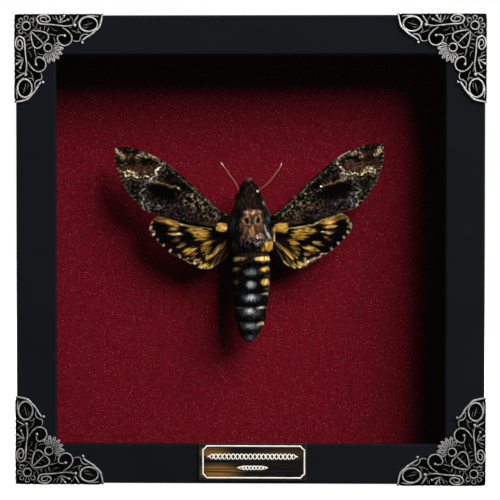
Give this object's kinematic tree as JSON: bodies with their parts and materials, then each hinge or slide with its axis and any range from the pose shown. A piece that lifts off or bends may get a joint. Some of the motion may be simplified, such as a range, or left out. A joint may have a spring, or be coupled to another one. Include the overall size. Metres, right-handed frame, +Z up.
{
  "type": "framed mounted hawk moth",
  "caption": "Square black shadow-box frame with filigree corners, a glass front and a bare name plate; a death's-head hawk moth is mounted inside on a crimson board.",
  "frame": {"origin": "middle of the object's foot, halfway through its depth, at the height of the surface it stands on", "axes": "+X to the right seen from the front, +Y from the glass towards the back panel, +Z up the frame"},
  "size_m": [0.2014, 0.0414, 0.2014],
  "materials": {
    "black_wood": "satin",
    "clear_glass": "gloss",
    "spacer_black": "matte",
    "crimson_board": "matte",
    "hardboard": "matte",
    "tab_steel": "satin",
    "hanger_steel": "satin",
    "antique_silver": "satin",
    "plate_bronze": "satin",
    "moth_fur": "matte",
    "moth_abdomen": "matte",
    "wing_brown": "matte",
    "wing_yellow": "matte",
    "antenna_brown": "satin",
    "foam_black": "matte"
  },
  "bodies": {
    "root": {"rail_top": "black_wood", "rail_bottom": "black_wood", "rail_left": "black_wood", "rail_right": "black_wood", "glass_pane": "clear_glass", "spacer_top": "spacer_black", "spacer_bottom": "spacer_black", "spacer_left": "spacer_black", "spacer_right": "spacer_black", "mount_board": "crimson_board", "back_panel": "hardboard", "back_tab_top_1": "tab_steel", "back_tab_top_2": "tab_steel", "back_tab_bottom_1": "tab_steel", "back_tab_bottom_2": "tab_steel", "back_tab_left_1": "tab_steel", "back_tab_left_2": "tab_steel", "back_tab_right_1": "tab_steel", "back_tab_right_2": "tab_steel", "hanger_strip": "hanger_steel", "hanger_rivet_left": "hanger_steel", "hanger_rivet_right": "hanger_steel", "corner_top_left": "antique_silver", "corner_top_right": "antique_silver", "corner_bottom_left": "antique_silver", "corner_bottom_right": "antique_silver", "name_plate": "plate_bronze", "moth_head": "moth_fur", "moth_thorax": "moth_fur", "moth_abdomen": "moth_abdomen", "forewing_left": "wing_brown", "forewing_right": "wing_brown", "hindwing_left": "wing_yellow", "hindwing_right": "wing_yellow", "antenna_left": "antenna_brown", "antenna_right": "antenna_brown", "leg_front_left": "antenna_brown", "leg_middle_left": "antenna_brown", "leg_hind_left": "antenna_brown", "leg_front_right": "antenna_brown", "leg_middle_right": "antenna_brown", "leg_hind_right": "antenna_brown", "mounting_block": "foam_black"}
  },
  "joints": []
}
